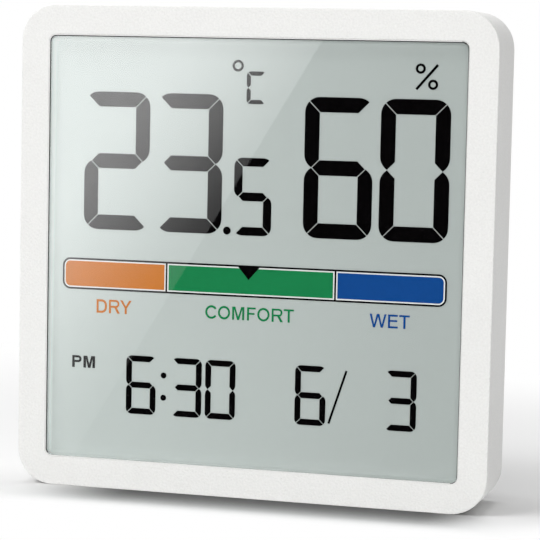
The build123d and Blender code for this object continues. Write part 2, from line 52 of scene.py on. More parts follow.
# The display's figures are drawn in millimetres from the middle of the face, X to the right and Y up, and
# then laid on the front film. Their thickness stands out of the film towards the window.
FILM_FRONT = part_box("front_polarizer")[0].y
FACE_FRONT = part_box("front_housing")[0].y
FACE_MIDDLE = (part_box("front_housing")[0].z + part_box("front_housing")[1].z) / 2
LENS_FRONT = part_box("window_lens")[0].y

LIT_SEGMENTS = {
    "0": "abcdef",
    "2": "abged",
    "3": "abgcd",
    "5": "afgcd",
    "6": "afgedc",
    "C": "afed",
}

# Each capital's width and the space before and after it, in heights of a capital
LETTER_SPACES = {
    "C": (0.879, 0.070, 0.061),
    "D": (0.834, 0.108, 0.067),
    "E": (0.746, 0.111, 0.075),
    "F": (0.672, 0.115, 0.067),
    "M": (0.950, 0.104, 0.110),
    "O": (0.956, 0.068, 0.063),
    "P": (0.762, 0.108, 0.062),
    "R": (0.880, 0.110, 0.020),
    "T": (0.793, 0.033, 0.028),
    "W": (1.287, 0.017, 0.014),
    "Y": (0.917, 0.004, 0.011),
}


class ClockDisplaySettings(bpy.types.PropertyGroup):
    """Sizes and colours of what the display shows."""

    temperature: StringProperty(
        name="Temperature", description="Two whole figures of the temperature", default="23")
    temperature_tenth: StringProperty(
        name="Tenths", description="Small figure after the point", default="5")
    humidity: StringProperty(
        name="Humidity", description="Two figures of the relative humidity", default="60")
    big_height: FloatProperty(
        name="Big figure height", description="Height of the temperature and humidity figures",
        default=0.022, unit="LENGTH")
    small_height: FloatProperty(
        name="Tenths height", description="Height of the figure after the point",
        default=0.01224, unit="LENGTH")
    time_height: FloatProperty(
        name="Time height", description="Height of the time and date figures",
        default=0.00944, unit="LENGTH")
    ink_thickness: FloatProperty(
        name="Ink thickness", description="How far the figures stand on the film",
        default=0.00005, unit="LENGTH")
    segment_gap: FloatProperty(
        name="Segment gap", description="Clear line between neighbouring segments",
        default=0.00014, unit="LENGTH")
    film_colour: FloatVectorProperty(
        name="Film", description="Unlit display", subtype="COLOR", size=3,
        default=(0.429, 0.474, 0.457))
    ink_colour: FloatVectorProperty(
        name="Ink", description="Lit segments", subtype="COLOR", size=3,
        default=(0.0025, 0.0022, 0.0024))
    dry_colour: FloatVectorProperty(
        name="Dry", description="Left zone of the bar", subtype="COLOR", size=3,
        default=(0.575, 0.172, 0.005))
    comfort_colour: FloatVectorProperty(
        name="Comfort", description="Middle zone of the bar", subtype="COLOR", size=3,
        default=(0.014, 0.225, 0.076))
    wet_colour: FloatVectorProperty(
        name="Wet", description="Right zone of the bar", subtype="COLOR", size=3,
        default=(0.009, 0.070, 0.280))


class ClockCaseSettings(bpy.types.PropertyGroup):
    """Colours and grain of the mouldings."""

    case_colour: FloatVectorProperty(
        name="Case", description="Front moulding", subtype="COLOR", size=3,
        default=(0.860, 0.858, 0.842))
    back_colour: FloatVectorProperty(
        name="Back", description="Rear cover, door and leg", subtype="COLOR", size=3,
        default=(0.840, 0.838, 0.822))
    button_colour: FloatVectorProperty(
        name="Buttons", description="Push buttons", subtype="COLOR", size=3,
        default=(0.620, 0.622, 0.620))
    grain_depth: FloatProperty(
        name="Grain depth", description="Depth of the spark texture on the front frame",
        default=0.0001, unit="LENGTH")


class ClockStageSettings(bpy.types.PropertyGroup):
    """Light and camera."""

    room_light: FloatProperty(
        name="Room light", description="Even light from all round", default=0.34)
    overhead_power: FloatProperty(
        name="Overhead", description="Power of the soft light above", default=2.2, unit="POWER")
    key_power: FloatProperty(
        name="Key", description="Power of the soft light on the front", default=4.8, unit="POWER")
    fill_power: FloatProperty(
        name="Fill", description="Power of the soft light beside the camera", default=3.75, unit="POWER")
    glare_strength: FloatProperty(
        name="Glare", description="Brightness of the card mirrored in the window", default=4.0)
    focal_length: FloatProperty(
        name="Focal length", description="Camera lens", default=149.354, unit="CAMERA")


# Node helpers. A reading is a node's output or a plain number.

def wire(tree, made, **values):
    """Sets inputs by name, with _ for a space: an output is linked, anything else is a plain value."""
    for name, value in values.items():
        target = made.inputs[name.replace("_", " ")]
        if isinstance(value, bpy.types.NodeSocket):
            tree.links.new(value, target)
        else:
            target.default_value = value


def node(tree, kind, **values):
    """A new node with its attributes, in small letters, and its inputs, with a capital, set."""
    made = tree.nodes.new(kind)
    for name, value in values.items():
        if name[0].islower():
            setattr(made, name, value)
        else:
            wire(tree, made, **{name: value})
    return made


def maths(tree, operation, *readings):
    """The result of one operation."""
    made = node(tree, "ShaderNodeMath", operation=operation)
    for target, reading in zip(made.inputs, readings):
        if isinstance(reading, bpy.types.NodeSocket):
            tree.links.new(reading, target)
        else:
            target.default_value = reading
    return made.outputs["Value"]


def fold(tree, operation, readings):
    """Several readings taken together, two at a time."""
    total = readings[0]
    for reading in readings[1:]:
        total = maths(tree, operation, total, reading)
    return total


def spread(tree, reading, start, end, low=0.0, high=1.0, kind="LINEAR"):
    """A reading between two limits, mapped to another two."""
    made = node(tree, "ShaderNodeMapRange", interpolation_type=kind, Value=reading, From_Min=start,
                From_Max=end, To_Min=low, To_Max=high)
    return made.outputs["Result"]


def fade(tree, reading, start, end):
    """A soft step from 0 to 1 between two readings."""
    return spread(tree, reading, start, end, kind="SMOOTHSTEP")


def blend(tree, factor, first, second, **kind):
    """Two colours mixed, or two numbers where the kind says so."""
    made = node(tree, "ShaderNodeMix", **{"data_type": "RGBA", **kind})
    wire(tree, made, Factor=factor, A=first, B=second)
    return made.outputs["Result"]


def ramp(tree, reading, stops, kind="LINEAR"):
    """A tone for each reading, from stops of a position and a grey or a colour."""
    made = node(tree, "ShaderNodeValToRGB", Fac=reading)
    row = made.color_ramp
    row.interpolation = kind
    while len(row.elements) < len(stops):
        row.elements.new(0.5)
    for element, (position, tone) in zip(row.elements, stops):
        element.position = position
        element.color = tone if isinstance(tone, tuple) else (tone, tone, tone, 1.0)
    return made.outputs["Color"]


def choose(tree, factor, first, second):
    """A mix of two shaders."""
    made = node(tree, "ShaderNodeMixShader", Fac=factor)
    tree.links.new(first, made.inputs[1])
    tree.links.new(second, made.inputs[2])
    return made.outputs["Shader"]


def object_place(tree):
    """The place of a spot on the object."""
    return node(tree, "ShaderNodeTexCoord").outputs["Object"]


def object_axes(tree):
    """The X, Y and Z of a spot on the object, by name."""
    return node(tree, "ShaderNodeSeparateXYZ", Vector=object_place(tree)).outputs


def raise_grain(tree, shader, height, distance, strength=1.0):
    """Gives a shader the bumps of a height."""
    bump = node(tree, "ShaderNodeBump", Strength=strength, Distance=distance, Height=height)
    wire(tree, shader, Normal=bump.outputs["Normal"])


def new_group(name, inputs, outputs):
    """An empty shader group with float or colour sockets."""
    group = bpy.data.node_groups.new(name, "ShaderNodeTree")
    for label, kind, value in inputs:
        socket = group.interface.new_socket(name=label, in_out="INPUT", socket_type=kind)
        socket.default_value = value
    for label, kind in outputs:
        group.interface.new_socket(name=label, in_out="OUTPUT", socket_type=kind)
    return group, group.nodes.new("NodeGroupInput"), group.nodes.new("NodeGroupOutput")


def grain_group():
    """Fine moulded grain: the height of a spark-eroded tool's texture and a speckle mask."""
    name = "Moulded grain"
    if name in bpy.data.node_groups:
        return bpy.data.node_groups[name]
    group, enter, leave = new_group(
        name,
        [("Grain per metre", "NodeSocketFloat", 4000.0)],
        [("Height", "NodeSocketFloat"), ("Speckle", "NodeSocketFloat")],
    )
    pit_share = 0.45
    reads = {"Vector": object_place(group), "Scale": enter.outputs["Grain per metre"]}
    fine = node(group, "ShaderNodeTexNoise", Detail=3.0, Roughness=0.55, **reads).outputs["Fac"]
    pits = node(group, "ShaderNodeTexVoronoi", feature="SMOOTH_F1", **reads).outputs["Distance"]
    wire(group, leave, Height=maths(group, "MULTIPLY_ADD", pits, pit_share, fine), Speckle=fine)
    return group


def mottle_group():
    """Slow change between two colours, with a roughness that follows it."""
    name = "Soft mottle"
    if name in bpy.data.node_groups:
        return bpy.data.node_groups[name]
    group, enter, leave = new_group(
        name,
        [
            ("Light", "NodeSocketColor", (0.8, 0.8, 0.8, 1.0)),
            ("Dark", "NodeSocketColor", (0.7, 0.7, 0.7, 1.0)),
            ("Spots per metre", "NodeSocketFloat", 90.0),
            ("Smooth", "NodeSocketFloat", 0.4),
            ("Rough", "NodeSocketFloat", 0.5),
        ],
        [("Colour", "NodeSocketColor"), ("Roughness", "NodeSocketFloat")],
    )
    given = enter.outputs
    cloud = node(group, "ShaderNodeTexNoise", Detail=4.0, Roughness=0.6, Vector=object_place(group),
                 Scale=given["Spots per metre"])
    share = spread(group, cloud.outputs["Fac"], 0.3, 0.7)
    wire(group, leave, Colour=blend(group, share, given["Dark"], given["Light"]),
         Roughness=blend(group, share, given["Rough"], given["Smooth"], data_type="FLOAT"))
    return group


def place_group(tree, group, **values):
    """The outputs of a group put into a material with its own values."""
    made = node(tree, "ShaderNodeGroup", node_tree=group)
    wire(tree, made, **values)
    return made.outputs


def new_material(name):
    """A material with one Principled shader on its output."""
    made = bpy.data.materials.new(name)
    made.use_nodes = True
    tree = made.node_tree
    tree.nodes.clear()
    shader = node(tree, "ShaderNodeBsdfPrincipled")
    node(tree, "ShaderNodeOutputMaterial", Surface=shader.outputs["BSDF"])
    return made, tree, shader


def opaque(colour, share=1.0):
    """Three colour values, scaled by a share, with full alpha."""
    return (*(channel * share for channel in colour), 1.0)


def mottled_material(name, colour, change, **values):
    """A material whose colour and roughness change slowly over the surface."""
    made, tree, shader = new_material(name)
    mottle = place_group(tree, mottle_group(), Light=opaque(colour), Dark=opaque(colour, change), **values)
    wire(tree, shader, Base_Color=mottle["Colour"], Roughness=mottle["Roughness"])
    return made, tree, shader


def moulded_plastic(name, colour, grain_size, depth, smooth, rough, change=0.97, specular=0.4):
    """Moulded plastic with a fine grain all over."""
    made, tree, shader = mottled_material(name, colour, change, Smooth=smooth, Rough=rough)
    grain = place_group(tree, grain_group(), Grain_per_metre=grain_size)
    raise_grain(tree, shader, grain["Height"], depth)
    wire(tree, shader, Specular_IOR_Level=specular)
    return made


def plated_metal(name, colour, smooth, rough, lines):
    """Plated or drawn metal with faint marks along X."""
    made, tree, shader = mottled_material(name, colour, 0.82, Spots_per_metre=700.0, Smooth=smooth,
                                          Rough=rough)
    stretch = node(tree, "ShaderNodeMapping", Scale=(0.06, 1.0, 1.0), Vector=object_place(tree))
    marks = node(tree, "ShaderNodeTexNoise", Scale=lines, Detail=3.0, Vector=stretch.outputs["Vector"])
    raise_grain(tree, shader, marks.outputs["Fac"], 0.01 * MM, 0.4)
    wire(tree, shader, Metallic=1.0)
    return made


def printed_ink(name, colour, change=0.93):
    """Ink of a segment or a printed zone, with the faint grain of a screen print."""
    made, tree, shader = mottled_material(name, colour, change, Spots_per_metre=2500.0, Smooth=0.55,
                                          Rough=0.7)
    wire(tree, shader, Specular_IOR_Level=0.0)
    return made


def dress(made, *names):
    """Gives CAD nodes a material."""
    for name in names:
        data = NODES[name].data
        data.materials.clear()
        data.materials.append(made)


# Mesh helpers

def rounded_plate(left, right, low, high, radius, corners=(True, True, True, True)):
    """One flat face with chosen corners rounded, from lower left and counter-clockwise."""
    plate = bmesh.new()
    places = ((left, low), (right, low), (right, high), (left, high))
    points = [plate.verts.new((x, y, 0)) for x, y in places]
    plate.faces.new(points)
    chosen = [point for point, wanted in zip(points, corners) if wanted]
    if radius > 0 and chosen:
        bmesh.ops.bevel(plate, geom=chosen, offset=radius, offset_type="OFFSET", affect="VERTICES",
                        segments=8, profile=0.5, material=-1)
    return plate


def trim(plate, x, y, normal_x, normal_y, drop=True):
    """Cuts a flat plate along a line and, where asked, drops the side that the normal points to."""
    everything = plate.verts[:] + plate.edges[:] + plate.faces[:]
    bmesh.ops.bisect_plane(plate, geom=everything, dist=1e-6, plane_co=(x, y, 0),
                           plane_no=(normal_x, normal_y, 0), clear_outer=drop)


def hollow(plate, width):
    """Leaves only a rim of a flat plate."""
    inside = plate.faces[:]
    bmesh.ops.inset_region(plate, faces=inside, thickness=width, use_even_offset=True, use_boundary=True)
    bmesh.ops.delete(plate, geom=inside, context="FACES")


def stroke(x_start, y_start, x_end, y_end, width):
    """A straight stroke with square ends."""
    length = math.hypot(x_end - x_start, y_end - y_start)
    plate = rounded_plate(0, length, -width / 2, width / 2, 0)
    turn = Matrix.Rotation(math.atan2(y_end - y_start, x_end - x_start), 4, "Z")
    bmesh.ops.transform(plate, matrix=Matrix.Translation((x_start, y_start, 0)) @ turn, verts=plate.verts[:])
    return plate


def disc(x, y, radius):
    """A round dot."""
    plate = bmesh.new()
    bmesh.ops.create_circle(plate, cap_ends=True, radius=radius, segments=32,
                            matrix=Matrix.Translation((x, y, 0)))
    return plate


def ring(x, y, radius, width):
    """A round ring."""
    plate = disc(x, y, radius)
    hollow(plate, width)
    return plate


def merged(plates):
    """Several plates as one mesh."""
    whole = bmesh.new()
    for plate in plates:
        data = bpy.data.meshes.new("plate")
        plate.to_mesh(data)
        plate.free()
        whole.from_mesh(data)
        bpy.data.meshes.remove(data)
    return whole


def welded(plates, cuts):
    """Plates that meet edge to edge as one region. The cuts give both sides of a joint the same corners."""
    whole = merged(plates)
    for cut in cuts:
        trim(whole, *cut, drop=False)
    bmesh.ops.remove_doubles(whole, verts=whole.verts[:], dist=1e-5)
    return whole


def segment(key, width, height, bar, gap):
    """One segment of a figure: a rounded outline of the upper or lower half, trimmed along its mitres."""
    middle = height / 2
    slip = gap / math.sqrt(2)
    dip = bar - math.sqrt(bar**2 - (bar / 2) ** 2)
    if key == "g":
        plate = rounded_plate(0, width, middle - bar / 2, middle + bar / 2, 0)
        for side_y in (1, -1):
            trim(plate, bar / 2 + slip, middle, -1, side_y)
            trim(plate, width - bar / 2 - slip, middle, 1, side_y)
        return plate
    lower = key in "cde"
    right = key in "bc"
    if lower:
        plate = rounded_plate(0, width, 0, middle + dip, bar)
    else:
        plate = rounded_plate(0, width, middle - dip, height, bar)

    def cut(x, y, normal_x, normal_y):
        trim(plate, width - x if right else x, height - y if lower else y,
             -normal_x if right else normal_x, -normal_y if lower else normal_y)

    if key in "ad":
        cut(0, height - bar, 0, -1)
        cut(slip, height, -1, -1)
        cut(width - slip, height, 1, -1)
    else:
        cut(bar, 0, 1, 0)
        cut(0, height - slip, 1, 1)
        cut(bar / 2, middle + slip, 1, -1)
    return plate


def figure(character, left, low, width, height, bar, gap):
    """A seven-segment figure."""
    plates = [segment(key, width, height, bar, gap) for key in LIT_SEGMENTS[character]]
    whole = merged(plates)
    bmesh.ops.translate(whole, vec=(left, low, 0), verts=whole.verts[:])
    return whole


def outline(points):
    """One flat face with the given corners."""
    plate = bmesh.new()
    plate.faces.new([plate.verts.new((x, y, 0)) for x, y in points])
    return plate


def straight_letter(character, wide, stem, bar):
    """The outline of a letter of straight strokes, one unit high."""
    half = wide / 2
    left, right = half - stem / 2, half + stem / 2
    if character == "T":
        return outline([(left, 0), (right, 0), (right, 1 - bar), (wide, 1 - bar), (wide, 1), (0, 1),
                        (0, 1 - bar), (left, 1 - bar)])
    if character == "E":
        middle, arm, top = 0.47, 0.94 * wide, 0.98 * wide
        return outline([(0, 0), (wide, 0), (wide, bar), (stem, bar), (stem, middle), (arm, middle),
                        (arm, middle + bar), (stem, middle + bar), (stem, 1 - bar), (top, 1 - bar), (top, 1),
                        (0, 1)])
    if character == "F":
        middle, arm = 0.45, 0.87 * wide
        return outline([(0, 0), (stem, 0), (stem, middle), (arm, middle), (arm, middle + bar),
                        (stem, middle + bar), (stem, 1 - bar), (wide, 1 - bar), (wide, 1), (0, 1)])
    if character == "Y":
        arm, fork, crotch = 1.2 * stem, 0.42, 0.55
        return outline([(left, 0), (right, 0), (right, fork), (wide, 1), (wide - arm, 1), (half, crotch),
                        (arm, 1), (0, 1), (left, fork)])
    if character == "W":
        foot, valley, peak, ridge = 0.21 * wide, 0.22, 0.80, 0.6 * stem
        return outline([(foot, 0), (foot + stem, 0), (half, peak), (wide - foot - stem, 0), (wide - foot, 0),
                        (wide, 1), (wide - stem, 1), (wide - foot - stem / 2, valley), (half + ridge, 1),
                        (half - ridge, 1), (foot + stem / 2, valley), (stem, 1), (0, 1)])
    if character == "M":
        shoulder, notch, dip = 1.5 * stem, 0.98 - stem, 1.6 * stem
        return outline([(0, 0), (stem, 0), (stem, notch), (left, 0), (right, 0), (wide - stem, notch),
                        (wide - stem, 0), (wide, 0), (wide, 1), (wide - shoulder, 1), (half, dip),
                        (shoulder, 1), (0, 1)])
    raise ValueError(f"no outline for {character}")


def round_letter(character, wide, stem, bar):
    """A letter with a bowl, one unit high."""
    if character in "CO":
        whole = character == "O"
        start, sweep, span = (0, 360, 1.0) if whole else (36, 288, 0.905)
        overshoot = 1.03
        plate = bmesh.new()
        ends = [plate.verts.new((0.5 - stem, 0, 0)), plate.verts.new((0.5, 0, 0))]
        rib = plate.edges.new(ends)
        bmesh.ops.transform(plate, matrix=Matrix.Rotation(math.radians(start), 4, "Z"), verts=ends)
        bmesh.ops.spin(plate, geom=[*ends, rib], cent=(0, 0, 0), axis=(0, 0, 1), steps=40, use_merge=whole,
                       angle=math.radians(sweep))
        bmesh.ops.scale(plate, vec=(wide / span, overshoot, 1), verts=plate.verts[:])
        bmesh.ops.translate(plate, vec=(wide / (2 * span), 0.5, 0), verts=plate.verts[:])
        bmesh.ops.recalc_face_normals(plate, faces=plate.faces[:])
        return plate
    right_only = (False, True, True, False)
    if character == "D":
        bowl_radius = 0.42
        plate = rounded_plate(0, wide, 0, 1, bowl_radius, right_only)
        hollow(plate, stem)
        return plate
    bowl_low = 0.42
    bowl_wide = wide if character == "P" else 0.94 * wide
    bowl_radius = (1 - bowl_low) * 0.47
    bowl = rounded_plate(0, bowl_wide, bowl_low, 1, bowl_radius, right_only)
    hollow(bowl, bar)
    parts = [bowl, rounded_plate(0, stem, 0, bowl_low, 0)]
    joints = [stem, bowl_wide - bowl_radius]
    if character == "R":
        leg_left, leg_wide = 0.5 * wide, 1.25 * stem
        parts.append(outline([(wide - leg_wide, 0), (wide, 0), (leg_left + leg_wide, bowl_low),
                              (leg_left, bowl_low)]))
        joints.append(leg_left)
    return welded(parts, [(x, 0, 1, 0) for x in joints])


def word(text, left, right, low, high, stem=0.155):
    """Plain sans-serif capitals, scaled to fill a box."""
    bar = 0.88 * stem
    plates = []
    reach = 0.0
    for character in text:
        wide, before, after = LETTER_SPACES[character]
        reach += before
        make = round_letter if character in "CODPR" else straight_letter
        plate = make(character, wide, stem, bar)
        bmesh.ops.translate(plate, vec=(reach, 0, 0), verts=plate.verts[:])
        plates.append(plate)
        reach += wide + after
    whole = merged(plates)
    xs = [point.co.x for point in whole.verts]
    ys = [point.co.y for point in whole.verts]
    grow_x = (right - left) / (max(xs) - min(xs))
    grow_y = (high - low) / (max(ys) - min(ys))
    bmesh.ops.translate(whole, vec=(-min(xs), -min(ys), 0), verts=whole.verts[:])
    bmesh.ops.scale(whole, vec=(grow_x, grow_y, 1), verts=whole.verts[:])
    bmesh.ops.translate(whole, vec=(left, low, 0), verts=whole.verts[:])
    return whole


def thicken(plate, thickness):
    """Makes flat faces solid, upwards."""
    raised = bmesh.ops.extrude_face_region(plate, geom=plate.faces[:], use_keep_orig=True)
    moved = [item for item in raised["geom"] if isinstance(item, bmesh.types.BMVert)]
    bmesh.ops.translate(plate, vec=(0, 0, thickness), verts=moved)
    bmesh.ops.recalc_face_normals(plate, faces=plate.faces[:])


def add_object(name, shape, made):
    """A finished mesh as an object of the scene."""
    data = bpy.data.meshes.new(name)
    shape.to_mesh(data)
    shape.free()
    data.materials.append(made)
    placed = bpy.data.objects.new(name, data)
    bpy.context.scene.collection.objects.link(placed)
    return placed


def finish_piece(name, shape, made, body):
    """A finished mesh as an object that rides on a body."""
    piece = add_object(name, shape, made)
    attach(piece, body)
    return piece


def lay_flat(name, plate, made, depth, thickness):
    """Lays a flat plate, in millimetres, on a face of the clock that looks forward."""
    thicken(plate, thickness / MM)
    stand_up = Matrix.Rotation(math.radians(90), 4, "X")
    place = Matrix.Translation((0, depth, FACE_MIDDLE)) @ stand_up @ Matrix.Scale(MM, 4)
    bmesh.ops.transform(plate, matrix=place, verts=plate.verts[:])
    return finish_piece(name, plate, made, "clock")


def lay_on_film(name, plate, made, layers=1.0):
    """Lays a flat plate, in millimetres, on the display's film."""
    thickness = layers * bpy.context.scene.clock_display.ink_thickness
    return lay_flat(name, plate, made, FILM_FRONT, thickness)


def ink():
    """The black of the lit segments."""
    made = bpy.data.materials.get("Segment black")
    return made or printed_ink("Segment black", bpy.context.scene.clock_display.ink_colour, 0.8)


class CLOCK_OT_case(bpy.types.Operator):
    """Finish the front moulding: spark texture on the frame and a smoother side wall"""

    bl_idname = "clock.case"
    bl_label = "Case"

    def execute(self, context):
        settings = context.scene.clock_case
        colour = settings.case_colour
        made, tree, shader = new_material("Front white")
        mottle = place_group(tree, mottle_group(), Light=opaque(colour), Dark=opaque(colour, 0.985),
                             Smooth=0.42, Rough=0.5)
        grain = place_group(tree, grain_group(), Grain_per_metre=3000.0)
        fine = place_group(tree, grain_group(), Grain_per_metre=9000.0)
        side_share, fine_share, darkest = 0.08, 0.12, 0.925
        depth = object_axes(tree)["Y"]
        front = spread(tree, depth, FACE_FRONT + 0.5 * MM, FACE_FRONT + 0.1 * MM, side_share)
        speckle = spread(tree, grain["Speckle"], 0.3, 0.7, darkest)
        tint = blend(tree, 1.0, mottle["Colour"], speckle, blend_type="MULTIPLY")
        coarse = maths(tree, "MULTIPLY", grain["Height"], front)
        height = maths(tree, "MULTIPLY_ADD", fine["Height"], fine_share, coarse)
        raise_grain(tree, shader, height, settings.grain_depth)
        wire(tree, shader, Base_Color=tint, Roughness=mottle["Roughness"], Specular_IOR_Level=0.2)
        dress(made, "front_housing")
        return {"FINISHED"}


class CLOCK_OT_window(bpy.types.Operator):
    """Finish the clear window, its lip, the adhesive frame round it and a painted shadow line along its top
    and left edges
    """

    bl_idname = "clock.window"
    bl_label = "Window"

    def execute(self, context):
        made, tree, shader = new_material("Window clear")
        wire(tree, shader, Base_Color=WHITE, Roughness=0.0, IOR=1.49, Transmission_Weight=1.0)
        path = node(tree, "ShaderNodeLightPath").outputs
        lets_through = maths(tree, "MAXIMUM", path["Is Shadow Ray"], path["Is Diffuse Ray"])
        clear = node(tree, "ShaderNodeBsdfTransparent")
        surface = choose(tree, lets_through, shader.outputs["BSDF"], clear.outputs["BSDF"])
        wire(tree, tree.nodes["Material Output"], Surface=surface)
        dress(made, "window_lens")
        tape_and_shadow_black = moulded_plastic("Tape and painted shadow black", (0.06, 0.062, 0.062), 9000.0, 0.01 * MM, 0.6, 0.75, 0.7, 0.2)
        dress(tape_and_shadow_black, "lens_tape")
        recess = LENS_FRONT - FACE_FRONT
        half, corner, lip_width, narrow, shadow_line_width = 34.08, 1.18, 0.14, 0.06, 0.17
        parts = []
        for width, side in ((lip_width, 1), (narrow, -1)):
            part = rounded_plate(-half, half, -half, half, corner)
            hollow(part, width)
            trim(part, half - corner, 0, side, 0)
            parts.append(part)
        lip = welded(parts, [(0, half - narrow, 0, 1), (0, narrow - half, 0, 1)])
        white = bpy.data.materials["Front white"]
        lay_flat("window_lip", lip, white, LENS_FRONT, 0.85 * recess)
        inner = half - lip_width
        # Painted shadow: a dark line in the tape's colour along the window's top and left edges only, where
        # the lips' shadow falls on the pane.
        line = rounded_plate(-inner, inner, -inner, inner, corner - lip_width)
        hollow(line, shadow_line_width)
        trim(line, 0, 0, 1, -1)
        lay_flat("window_painted_shadow_line", line, tape_and_shadow_black, LENS_FRONT, 0.4 * recess)
        return {"FINISHED"}


class CLOCK_OT_display_face(bpy.types.Operator):
    """Finish the grey-green film of the display, with painted light towards its left side and its border, and
    the layers behind it
    """

    bl_idname = "clock.display_face"
    bl_label = "Display face"

    def hidden_share(self, tree, reading, border):
        """How much of the sky the frame hides from a spot of the film: more towards the border."""
        inward = maths(tree, "SUBTRACT", border, maths(tree, "ABSOLUTE", reading))
        angle = maths(tree, "ARCTAN2", FILM_FRONT - FACE_FRONT, inward)
        return maths(tree, "SUBTRACT", 1.0, maths(tree, "COSINE", angle))

    def painted_border_light(self, tree, x, z):
        """Painted light: brightens the film's colour towards its border, more on the left, to make up for the
        light that the frame keeps off it.
        """
        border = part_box("front_polarizer")[1].x - 0.4 * MM
        left, right, above, left_edge, low_edge = 0.55, 0.2, 0.47, 0.54, 0.14
        z = maths(tree, "SUBTRACT", z, FACE_MIDDLE)
        return fold(tree, "ADD", [
            maths(tree, "MULTIPLY", self.hidden_share(tree, x, border),
                  spread(tree, x, -border, border, left, right)),
            maths(tree, "MULTIPLY_ADD", self.hidden_share(tree, z, border), above, 1.0),
            maths(tree, "MULTIPLY", fade(tree, x, 1.0 * MM - border, 0.35 * MM - border), left_edge),
            maths(tree, "MULTIPLY", fade(tree, z, 1.1 * MM - border, 0.3 * MM - border), low_edge),
        ])

    def execute(self, context):
        colour = context.scene.clock_display.film_colour
        left_painted_light, dullest, half = 1.30, 0.97, 34 * MM
        made, tree, shader = new_material("Display film")
        axes = object_axes(tree)
        # Painted light: the film's colour grows lighter towards its left side, up to 1.3 times at the left
        # edge.
        tone = blend(tree, spread(tree, axes["X"], half, -half), opaque(colour), opaque(colour, left_painted_light))
        # Painted light: the film's colour is brightened towards its border.
        painted_border_gain = self.painted_border_light(tree, axes["X"], axes["Z"])
        lit = blend(tree, 1.0, tone, painted_border_gain, blend_type="MULTIPLY")
        sparkle = place_group(tree, grain_group(), Grain_per_metre=12000.0)
        span = spread(tree, sparkle["Speckle"], 0.25, 0.75, dullest)
        tint = blend(tree, 1.0, lit, span, blend_type="MULTIPLY")
        raise_grain(tree, shader, sparkle["Height"], 0.004 * MM, 0.5)
        wire(tree, shader, Base_Color=tint, Roughness=0.6, Specular_IOR_Level=0.1)
        dress(made, "front_polarizer")
        glass, tree, shader = new_material("Display glass")
        tinted = place_group(tree, mottle_group(), Light=(0.80, 0.90, 0.87, 1.0),
                             Dark=(0.76, 0.87, 0.84, 1.0), Smooth=0.03, Rough=0.06)
        wire(tree, shader, Base_Color=tinted["Colour"], Roughness=tinted["Roughness"],
             Transmission_Weight=0.9, IOR=1.52)
        dress(glass, "lcd_front_glass", "lcd_rear_glass")
        dress(plated_metal("Reflector film", (0.72, 0.73, 0.72), 0.35, 0.5, 9000.0), "lcd_reflector")
        return {"FINISHED"}


class CLOCK_OT_big_figures(bpy.types.Operator):
    """Draw the temperature and humidity figures"""

    bl_idname = "clock.big_figures"
    bl_label = "Big figures"

    def execute(self, context):
        settings = context.scene.clock_display
        gap = settings.segment_gap / MM
        height = settings.big_height / MM
        wide, bar, pitch, low = height * 0.499, height * 0.107, height * 0.551, 3.07
        places = {"temperature": (settings.temperature, -28.20), "humidity": (settings.humidity, 8.23)}
        for name, (text, left) in places.items():
            for index, character in enumerate(text):
                shape = figure(character, left + index * pitch, low, wide, height, bar, gap)
                lay_on_film(f"{name}_figure_{index + 1}", shape, ink())
        small = settings.small_height / MM
        shape = figure(settings.temperature_tenth, -3.09, 3.02, small * 0.502, small, small * 0.11, gap)
        lay_on_film("temperature_tenth", shape, ink())
        lay_on_film("temperature_point", disc(-4.15, 3.68, 0.63), ink())
        return {"FINISHED"}


class CLOCK_OT_small_figures(bpy.types.Operator):
    """Draw the time and date figures"""

    bl_idname = "clock.small_figures"
    bl_label = "Small figures"

    def execute(self, context):
        settings = context.scene.clock_display
        gap = settings.segment_gap * 0.8 / MM
        height = settings.time_height / MM
        wide, bar, low = height * 0.530, height * 0.101, -26.47
        places = {"hour": ("6", -20.60), "minute_tens": ("3", -12.90), "minute_units": ("0", -7.28),
                  "month": ("6", 7.53), "day": ("3", 22.07)}
        for name, (character, left) in places.items():
            shape = figure(character, left, low, wide, height, bar, gap)
            lay_on_film(f"{name}_figure", shape, ink())
        colon = merged([disc(-14.28, -19.97, 0.48), disc(-14.28, -23.57, 0.48)])
        lay_on_film("time_colon", colon, ink())
        lay_on_film("date_stroke", stroke(15.82, -17.52, 13.10, -25.98, 0.35), ink())
        return {"FINISHED"}


class CLOCK_OT_unit_signs(bpy.types.Operator):
    """Draw the degree, Celsius and percent signs"""

    bl_idname = "clock.unit_signs"
    bl_label = "Unit signs"

    def execute(self, context):
        gap = context.scene.clock_display.segment_gap / MM
        lay_on_film("degree_ring", ring(-2.80, 29.63, 0.91, 0.37), ink())
        lay_on_film("celsius_figure", figure("C", -1.33, 23.70, 3.08, 5.08, 0.64, gap), ink())
        percent = merged([
            ring(26.38, 29.77, 0.79, 0.38),
            ring(28.37, 27.35, 0.79, 0.38),
            stroke(25.77, 26.60, 29.06, 30.38, 0.40),
        ])
        lay_on_film("percent_sign", percent, ink())
        return {"FINISHED"}


